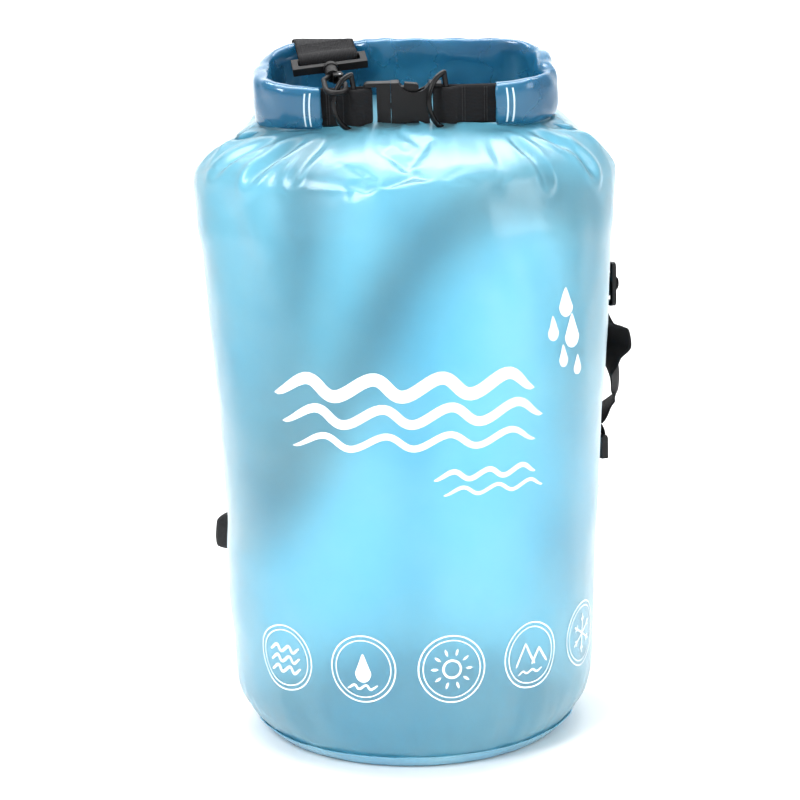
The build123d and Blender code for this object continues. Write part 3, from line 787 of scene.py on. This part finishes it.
strap_route = [at(top_loop_place, LOOP_BAR + 24, LAY), at(top_loop_place, LOOP_BAR + 9, LAY),
               at(top_loop_place, LOOP_BAR + 3.5, WRAP_RADIUS - 0.3)]
strap_route += wrap(top_loop_place, LOOP_BAR, WRAP_RADIUS, range(0, -181, -45))
strap_route += [down(top_loop_place, LOOP_BAR + 3.5, 0.3 - WRAP_RADIUS),
                down(top_loop_place, LOOP_BAR + 9, -LAY), down(top_loop_place, LOOP_BAR + 20, -LAY)]
strap_route += [(Vector(a), Vector(b)) for a, b in (
    ((-53, 30, 460), (0, 0, -1)),
    ((-55, 45, 459), (0, -0.5, -1)),
    ((-57, 55, 450), (0, -1, -0.6)),
    ((-60, 63, 430), (0, -1, -0.4)),
    ((-64, 76, 408), (0.2, -1, -0.5)),
    ((-70, 92, 386), (0.4, -1, -0.3)),
)]
strap_route += [on_wall(*station) for station in (
    (126, 362, 8), (128, 330, 6), (132, 285, 5), (136, 240, 5), (142, 195, 6), (148, 160, 8, 10),
    (153, 135, 14, 40), (155, 115, 21, 75))]
strap_route += [(beside(151, 100, 25).translation.copy(), Vector((0, 0, 1)))]
strap_route += [on_wall(*station) for station in (
    (143, 112, 20, -75), (135, 135, 13, -40), (126, 162, 9, -10), (114, 200, 6), (104, 245, 6), (92, 288, 6),
    (76, 322, 7), (60, 343, 9), (44, 352, 10), (31, 347, 10), (23, 333, 9), (18.3, 321, 6))]
strap_route += [down(slider, along_y, out) for along_y, out in (
    (16.5, -3.2), (11.0, -3.2), (6.6, 0.2), (3.6, SLIDER_WRAP + 1.7), (-3.6, SLIDER_WRAP + 1.7), (-6.6, 0.2),
    (-11.0, -3.2), (-16.5, -3.2))]
strap_route += [on_wall(*station) for station in (
    (18, 266, 11), (18.5, 258, 18, 20), (19, 249, 20, 25), (19.5, 240, 17, 5), (20, 231, 20, -20),
    (20.5, 221, 28, -40), (21, 211, 30, -35), (21.5, 203, 23, -15))]
strap_route += [down(lower_loop_place, LOOP_BAR + 12, 3), down(lower_loop_place, LOOP_BAR + 9.2, LAY)]

adjuster_route = wrap(slider, 0, SLIDER_WRAP, range(-90, 181, 45))
adjuster_route += [down(slider, -6, -4.4), down(slider, -11.8, -4.9), down(slider, -20, -4.9)]
adjuster_route += [on_wall(20, 240, 4.5), down(lower_loop_place, LOOP_BAR + 20, -LAY)]
adjuster_route += [down(lower_loop_place, LOOP_BAR + 9, -LAY),
                   down(lower_loop_place, LOOP_BAR + 3.5, 0.3 - WRAP_RADIUS)]
adjuster_route += wrap(lower_loop_place, LOOP_BAR, WRAP_RADIUS, range(-180, 1, 45))
adjuster_route += [at(lower_loop_place, LOOP_BAR + 3.5, WRAP_RADIUS - 0.3),
                   at(lower_loop_place, LOOP_BAR + 8.5, LAY)]

for name, route, node, body in (("strap", strap_route, "shoulder_strap", OVER_THE_ROLL),
                                ("adjuster", adjuster_route, "adjuster_strap", "bag")):
    tape(name, facing_stations(route), STRAP_WIDTH, STRAP_THICKNESS, 2.2, STRAP, node, body)

anchor_route = [(-40, -0.6), (-28, -0.6), (-16, -0.6), (-8, -0.2), (-3.5, 1.6), (-1.6, 2.3), (0.4, 2.75),
                (2.0, 2.0), (2.75, 0), (2.0, -2.0), (0, -2.75), (-3, -2.6), (-8, -2.2), (-16, -2.2),
                (-28, -2.2), (-40, -2.2)]
tape("anchor_tape", [(point(anchor, 0, y, out), axis(anchor, 0)) for y, out in anchor_route],
     WEBBING_WIDTH, WEBBING_THICKNESS, 1.2, WEBBING, "rear_anchor", "bag")


# ---- hardware --------------------------------------------------------------
def soften(node, width):
    """Rounds a moulded piece's edges."""
    piece = frame["nodes"][node]
    bevel = piece.modifiers.new("edges", "BEVEL")
    bevel.width = width * MM
    bevel.segments = 3
    bevel.limit_method = "ANGLE"
    bevel.angle_limit = radians(32)
    bevel.harden_normals = True


for node, material, edge in (
        ("buckle_male", PLASTIC, 0.45), ("buckle_female", PLASTIC, 0.5),
        ("buckle_prong_upper", PLASTIC, 0.35), ("buckle_prong_lower", PLASTIC, 0.35),
        ("top_hook", PLASTIC, 0.4), ("top_hook_gate", PLASTIC, 0.3),
        ("top_hook_loop", PLASTIC, 1.1), ("lower_hook", PLASTIC, 0.4), ("lower_hook_gate", PLASTIC, 0.3),
        ("lower_hook_loop", PLASTIC, 0.5), ("tri_glide", PLASTIC, 0.5), ("top_hook_pin", STEEL, 0.1),
        ("lower_hook_pin", STEEL, 0.1)):
    dress(node, material)
    soften(node, edge)
for node in ("left_d_ring", "right_d_ring", "rear_d_ring"):
    dress(node, POLISHED)
dress("mouth_stiffener", STRIP)


# ---- what is welded to the film, printed on it and sewn --------------------
def surface(piece):
    """A piece's mesh as a tree to cast rays at."""
    mesh = piece.data
    return BVHTree.FromPolygons([v.co for v in mesh.vertices], [tuple(p.vertices) for p in mesh.polygons])


TREE = surface(film)
FAR_OUT = 190.0                   # rays start this far from the bag's axis


def on_film(where, towards, lift):
    """The film's outside seen from a point along a direction, lifted off it; sizes in millimetres."""
    hit, normal, face, far = TREE.ray_cast(Vector(where) * MM, Vector(towards).normalized())
    if hit is None:
        return Vector(where)
    if normal.dot(Vector(towards)) > 0:
        normal = -normal
    return hit / MM + normal * lift


def round_film(angle, height, lift):
    """The film's outside at an angle from the front, towards +X, and a height."""
    turn = radians(angle)
    out = Vector((sin(turn), -cos(turn), 0))
    return on_film(out * FAR_OUT + Vector((0, 0, height)), -out, lift)


def shell(name, node, material, thickness, rows, columns, where, offset=1, closed=False):
    """A welded sheet in place of a CAD node: where gives its point at a row and a column."""
    verts = [where(n, k) for n in range(rows) for k in range(columns)]
    piece = dress(mesh_object(name, verts, grid_faces(rows, columns, closed)), material)
    skin = piece.modifiers.new("thickness", "SOLIDIFY")
    skin.thickness = thickness * MM
    skin.offset = offset
    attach(piece, "bag")
    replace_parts(piece, node)


SEAM_TOP, SEAM_FOOT, SEAM_WIDTH = 366.0, 14.0, 25.0
PATCH_HALF = (26.0, 28.0)
PATCH_DROP = 33.0                 # from the rear D-ring's bar down to the patch's middle
PATCH_SQUARE = 7.0                # the power of its outline: the higher, the sharper its corners


def band_point(n, k):
    """The band where tube and base are welded: two pressed lines, a rippled edge."""
    s, turn = n / 8, 2 * pi * k / 420
    ripple = 0.9 * noise.noise(Vector((cos(turn) * 9, sin(turn) * 9, s * 1.3))) + 0.18 * sin(turn * 130)
    weld_line = 0.35 if n in (2, 6) else 0.0
    edge_out = 0.5 if n == 8 else 0.0
    lift = 0.75 + ripple * (0.4 + 0.6 * s) - weld_line + edge_out
    return film_point(turn, 0.4 + 8.4 * s) + Vector((cos(turn), sin(turn), 0)) * max(lift, 0.2)


def base_point(n, k):
    """The round base: flat at its rim, dished up a little in the middle, with a weld near the rim."""
    reach = max(n / 36, 0.004)
    weld = 0.25 * (0.94 < reach < 0.975) + 0.10 * noise.noise(Vector((reach * 14, 3, 1)))
    edge = film_point(2 * pi * k / 160, 0.4)
    ripple = 0.35 * noise.noise(Vector((edge.x, edge.y, 0)) * reach * 0.03)
    dish = 1.1 * (1 - ease((reach - 0.55) / 0.45)) + ripple
    return Vector((edge.x * reach * 0.995, edge.y * reach * 0.995, 0.15 + max(dish + weld, 0.0)))


def seam_point(n, k):
    """The tube's lapped seam down the back, with a row of weld beads and a groove along each edge."""
    height = SEAM_FOOT + (SEAM_TOP - SEAM_FOOT) * n / 175
    bead = 0.35 if k in (3, 15) and n % 2 else 0.0
    groove = -0.15 if k in (4, 14) else 0.0
    return on_film((SEAM_WIDTH * k / 18 - SEAM_WIDTH / 2, FAR_OUT, height), (0, -1, 0), 0.35 + bead + groove)


def patch_point(n, k):
    """The patch under the rear D-ring's tab: round corners, and a raised weld inside its edge."""
    u, v = -1 + 2 * k / 38, -1 + 2 * n / 40
    shrink = (abs(u) ** PATCH_SQUARE + abs(v) ** PATCH_SQUARE) ** (1 / PATCH_SQUARE)
    size = max(abs(u), abs(v))
    fit = size / shrink if shrink else 1.0
    rim = 0.35 if 0.82 < size < 0.93 else 0.0
    where = point(anchor, PATCH_HALF[0] * u * fit, PATCH_HALF[1] * v * fit - PATCH_DROP, 60)
    return on_film(where, -axis(anchor, 2), 0.3 + rim)


shell("base_band", "base_weld_band", BASE_WELD, 0.6, 9, 420, band_point, closed=True)
shell("base_film", "base_disc", SEAM_FILM_PAINTED_LIGHT, 0.6, 37, 160, base_point, offset=-1, closed=True)
shell("weld_seam", "back_seam", SEAM_FILM_PAINTED_LIGHT, 0.5, 176, 19, seam_point)
shell("anchor_patch", "rear_patch", SEAM_FILM_PAINTED_LIGHT, 0.6, 41, 39, patch_point)

WALL_REACH = 123.0                # millimetres round the wall for each radian
INK_LIFT = 0.22


class Print:
    """White ink shapes laid on the film, gathered into one mesh."""

    def __init__(self, name):
        self.name = name
        self.verts, self.faces = [], []

    def grid(self, rows, closed=False):
        start = len(self.verts)
        count = len(rows[0])
        for row in rows:
            self.verts += [round_film(degrees(x / WALL_REACH), z, INK_LIFT) for x, z in row]
        self.faces += [tuple(start + n for n in face) for face in grid_faces(len(rows), count, closed)]

    def stroke(self, line, width):
        """A line of (x, z) points with round ends, as wide as width says along it from 0 to 1."""
        rows = []
        for n, (x, z) in enumerate(line):
            before, after = line[max(n - 1, 0)], line[min(n + 1, len(line) - 1)]
            dx, dz = after[0] - before[0], after[1] - before[1]
            size = hypot(dx, dz) or 1
            half = width(n / (len(line) - 1)) / 2
            sides = [half * (-1 + 2 * k / 3) for k in range(4)]
            rows.append([(x - dz / size * side, z + dx / size * side) for side in sides])
        self.grid(rows)

    def ring(self, x, z, radius, width, count=64):
        self.grid([[(x + (radius + side * width / 2) * cos(2 * pi * k / count),
                     z + (radius + side * width / 2) * sin(2 * pi * k / count)) for k in range(count)]
                   for side in (-1, 1)], closed=True)

    def blob(self, x, z, outline):
        """A filled shape round a point: the outline gives its edge at each angle."""
        turns = [2 * pi * k / 40 for k in range(40)]
        self.grid([[(x + s * outline(a)[0], z + s * outline(a)[1]) for a in turns]
                   for s in (0.02, 0.25, 0.5, 0.75, 1.0)], closed=True)

    def finish(self):
        piece = dress(mesh_object(self.name, self.verts, self.faces), INK)
        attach(piece, "bag")


def taper(full, ends=0.18):
    """A stroke's width, rounded off towards both its ends."""
    return lambda s: full * sqrt(max(0.0, 1 - (1 - min(s, 1 - s, ends) / ends) ** 2)) + 0.05


def wave(x0, x1, z, height, humps):
    """Points of a rolling wave between two places, its crests leaning over."""
    line = []
    for n in range(61):
        s = n / 60
        phase = 2 * pi * humps * s
        lean = 0.35 * height * (1 - cos(phase)) / 2
        line.append((x0 + (x1 - x0) * s + lean, z + height / 2 * sin(phase - pi / 2)))
    return line


def drop(size):
    """A drop's outline, pointed at the top."""
    return lambda a: (size * 0.42 * cos(a) * (1 - 0.55 * max(0.0, sin(a))) ** 1.15,
                      size * (0.5 * sin(a) if sin(a) < 0 else 0.95 * sin(a) ** 1.25))


waves = Print("print_waves")
for x0, x1, z, height, humps, wide in ((-98, 84, 250, 11, 4.0, 8.0), (-92, 90, 232, 10, 4.0, 6.0),
                                       (-84, 84, 216, 8, 4.0, 4.2), (12, 84, 194, 5, 3.0, 3.2),
                                       (18, 90, 184, 4.5, 3.0, 2.3)):
    waves.stroke(wave(x0, x1, z, height, humps), taper(wide))
waves.finish()

drops = Print("print_drops")
for x, z, size in ((112, 292, 13), (101, 277, 11), (117, 273, 15), (109, 259, 10), (122, 252, 9)):
    drops.blob(x, z, drop(size))
drops.finish()


def spoke(x, z, angle, reaches):
    """Points on a ray from (x, z), at these distances."""
    return [(x + r * cos(angle), z + r * sin(angle)) for r in reaches]


def icon_sea(x, z):
    for k in range(3):
        icons.stroke(wave(x - 13, x + 11, z - 8 + 7 * k, 4.0, 2.5), taper(2.0))


def icon_drop(x, z):
    icons.blob(x, z - 2.5, drop(13.0))
    icons.stroke(wave(x - 11, x + 9, z - 12, 2.6, 2.5), taper(1.5))


def icon_sun(x, z):
    icons.ring(x, z, 5.6, 1.6, 40)
    for k in range(10):
        icons.stroke(spoke(x, z, 2 * pi * k / 10, (8.6, 10.3, 12.0, 13.8)), taper(1.7, 0.4))


def icon_hills(x, z):
    for corners in (((-13, -7), (-4, 8), (4, -7)), ((1, -7), (7.5, 3.5), (14, -7))):
        line = [(x + corners[0][0], z + corners[0][1])]
        for (x0, z0), (x1, z1) in zip(corners, corners[1:]):
            line += [(x + x0 + (x1 - x0) * k / 8, z + z0 + (z1 - z0) * k / 8) for k in range(1, 9)]
        icons.stroke(line, taper(1.7, 0.1))
    icons.stroke(wave(x - 11, x + 9, z - 11, 1.8, 2.5), taper(1.3))


def icon_flake(x, z):
    for k in range(6):
        a = pi / 6 + 2 * pi * k / 6
        icons.stroke(spoke(x, z, a, (0.2, 3.5, 7, 10.5, 13.5)), lambda s: 1.3)
        for turn in (a - 0.7, a + 0.7):
            icons.stroke(spoke(x + 8.2 * cos(a), z + 8.2 * sin(a), turn, (0, 1.8, 3.6)), lambda s: 1.1)


icons = Print("print_icons")
ICON_HEIGHT = 71.0
ICON_RADIUS = 21.6
for icon, angle in ((icon_sea, -44.5), (icon_drop, -17.5), (icon_sun, 9.5), (icon_hills, 36.5),
                    (icon_flake, 63.5)):
    x = radians(angle) * WALL_REACH
    icons.ring(x, ICON_HEIGHT, ICON_RADIUS, 1.0)
    icons.ring(x, ICON_HEIGHT, ICON_RADIUS - 3.0, 0.8)
    icon(x, ICON_HEIGHT)
icons.finish()


def stitch(middle, heading, out, length, wide):
    """The rows of points of one raised stitch."""
    side = heading.cross(out).normalized()
    rows = []
    for u, lift, half in ((-0.5, -0.12, 0.35), (-0.36, 0.16, 0.9), (0, 0.30, 1.0), (0.36, 0.16, 0.9),
                          (0.5, -0.12, 0.35)):
        spine = middle + heading * u * length
        rows.append([spine + side * w * half * wide / 2 + out * (lift + h * 0.22 * half)
                     for w, h in ((-1, 0), (-0.55, 0.85), (0.55, 0.85), (1, 0))])
    return rows


def stitches(name, lines, body, pitch=2.9, length=2.1, wide=0.55, material=THREAD):
    """Rows of raised stitches: each line is a list of (point, way out of the cloth)."""
    verts, faces = [], []
    for line in lines:
        gone, target = 0.0, pitch / 2
        for (a, out_a), (b, out_b) in zip(line, line[1:]):
            span = (b - a).length
            if span < 1e-6:
                continue
            heading = (b - a) / span
            while target <= gone + span:
                s = (target - gone) / span
                rows = stitch(a + (b - a) * s, heading, out_a.lerp(out_b, s).normalized(), length, wide)
                faces += [tuple(len(verts) + n for n in face) for face in grid_faces(len(rows), 4, False)]
                verts += [p for row in rows for p in row]
                target += pitch
            gone += span
    piece = dress(mesh_object(name, verts, faces), material)
    fasten(piece, body)


def box_cross(where, x0, x1, y0, y1, out):
    """A box with a cross in it, in a plane."""
    normal = axis(where, 2)
    corners = [(x0, y0), (x1, y0), (x1, y1), (x0, y1), (x0, y0), (x1, y1)]
    return [[(point(where, x, y, out), normal) for x, y in corners],
            [(point(where, x1, y0, out), normal), (point(where, x0, y1, out), normal)]]


def bars(places):
    """Bar tacks across a front tape, at these distances along X."""
    return [[(point(front, x, y, 1.62), axis(front, 2)) for y in (-11, 11)] for x in places]


stitches("stitch_anchor", box_cross(anchor, -9.5, 9.5, -37, -12, 0.25), "bag")
stitches("stitch_strap_top", box_cross(top_loop_place, -15, 15, LOOP_BAR + 8, LOOP_BAR + 22, LAY + 0.8),
         OVER_THE_ROLL)
stitches("stitch_left", bars((-37.0, -38.6, -47.5, -49.1)), "ring", 1.5, 1.3)
stitches("stitch_right", bars((36.6, 38.2, 50.5, 52.1)), OUT_OF_THE_ARM, 1.5, 1.3)

ROLL_TREE = surface(roll)


def roll_outside(t, up, lift):
    """The roll's outer face, found from outside the ring."""
    away = 22
    here = on_ring(t, away, up)
    inwards = on_ring(t, 0, up) - here
    hit, normal, face, far = ROLL_TREE.ray_cast(here * MM, inwards.normalized(), away * MM)
    if hit is None:
        return on_ring(t, ROLL_THICKNESS / 2 + lift, up), -inwards.normalized()
    out = normal if normal.dot(inwards) < 0 else -normal
    return hit / MM + out * lift, out


def tip_welds_and_highlights():
    """Two curved weld lines near each tip of the roll, where the stiffener's pocket is closed, drawn
    near-white as painted highlight along the fold's edges there.
    """
    verts, faces = [], []
    tall = 10.8
    for tip_line in (0.017, 0.026, 0.974, 0.983):
        start = len(verts)
        for n in range(25):
            up = -tall + 2 * tall * n / 24
            bow = 0.0022 * (1 - (up / tall) ** 2) * (1 if tip_line < 0.5 else -1)
            for k in range(-2, 3):
                where = roll_outside(tip_line + bow + k * 0.38 / RING_LENGTH, up, 0.42 - 0.09 * k ** 2)[0]
                verts.append(where)
        faces += [tuple(start + n for n in face) for face in grid_faces(25, 5, False)]
    piece = dress(mesh_object("tip_welds_and_highlights", verts, faces), WELD_AND_HIGHLIGHT_LINE)
    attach(piece, "ring")


tip_welds_and_highlights()
dotted = [roll_outside(0.20 + 0.60 * n / 149, 12.5, 0.05) for n in range(150)]
stitches("edge_weld", [dotted], "ring", 2.6, 1.5, 0.8, WELD_AND_HIGHLIGHT_LINE)


# ---- camera, floor and light -----------------------------------------------
PITCH = radians(11.0)
ROLL = radians(-1.6)
CAMERA_BACK, CAMERA_UP, CAMERA_ASIDE = -1315, 216.5, -8
forward = Vector((0, cos(PITCH), -sin(PITCH)))
upward = Vector((0, sin(PITCH), cos(PITCH)))
camera_data = bpy.data.cameras.new("camera")
camera_data.lens = 85
camera_data.sensor_width = 36
camera = bpy.data.objects.new("camera", camera_data)
camera_place = forward * CAMERA_BACK + upward * CAMERA_UP + Vector((CAMERA_ASIDE, 0, 0))
camera.matrix_world = (Matrix.Translation(camera_place * MM)
                       @ Matrix((Vector((1, 0, 0)), upward, -forward)).transposed().to_4x4()
                       @ Matrix.Rotation(ROLL, 4, "Z"))
bpy.context.scene.collection.objects.link(camera)
bpy.context.scene.camera = camera


def area_light(name, where, aim, size, power):
    data = bpy.data.lights.new(name, "AREA")
    data.shape = "RECTANGLE"
    data.size, data.size_y = size
    data.energy = power
    lamp = bpy.data.objects.new(name, data)
    lamp.location = where
    lamp.rotation_euler = (Vector(aim) - Vector(where)).to_track_quat("-Z", "Y").to_euler()
    bpy.context.scene.collection.objects.link(lamp)


# The floor runs up into a backdrop in one sweep: metres, Y and Z.
BACK, CURVE = 1.3, 0.9
sweep = [(-4.0, 0.0), (BACK, 0.0)]
sweep += [(BACK + CURVE * sin(radians(a)), CURVE - CURVE * cos(radians(a))) for a in range(6, 91, 6)]
sweep += [(BACK + CURVE, 4.0)]
floor = mesh_object("floor", [(x, y, z) for y, z in sweep for x in (-4.5, 4.5)],
                    [(2 * n, 2 * n + 1, 2 * n + 3, 2 * n + 2) for n in range(len(sweep) - 1)], scale=1)
floor.location.z = -0.0005
paper = Nodes("paper")
paper.set(Roughness=0.9, Specular_IOR_Level=0.1)
paper.link(paper.ramp(paper.noise(3.0, 2.0), (0.93, 0.94, 0.95), (0.95, 0.955, 0.96)),
           paper.shader.inputs["Base Color"])
dress(floor, paper.material)
area_light("key", (-0.9, -1.3, 1.5), (0, 0, 0.25), (0.5, 0.9), 24)
area_light("fill", (1.5, -1.2, 0.9), (0, 0, 0.25), (0.8, 1.2), 12)
area_light("backdrop_light", (0.0, 0.5, 2.2), (0, 2.0, 0.6), (3.0, 0.8), 62)
area_light("top", (0, 0.1, 1.9), (0, 0, 0.2), (1.2, 1.2), 15)
world = bpy.data.worlds.new("studio")
world.use_nodes = True
world.node_tree.nodes["Background"].inputs["Color"].default_value = (1, 1, 1, 1)
world.node_tree.nodes["Background"].inputs["Strength"].default_value = 0.6
bpy.context.scene.world = world
bpy.context.scene.view_settings.view_transform = "Standard"
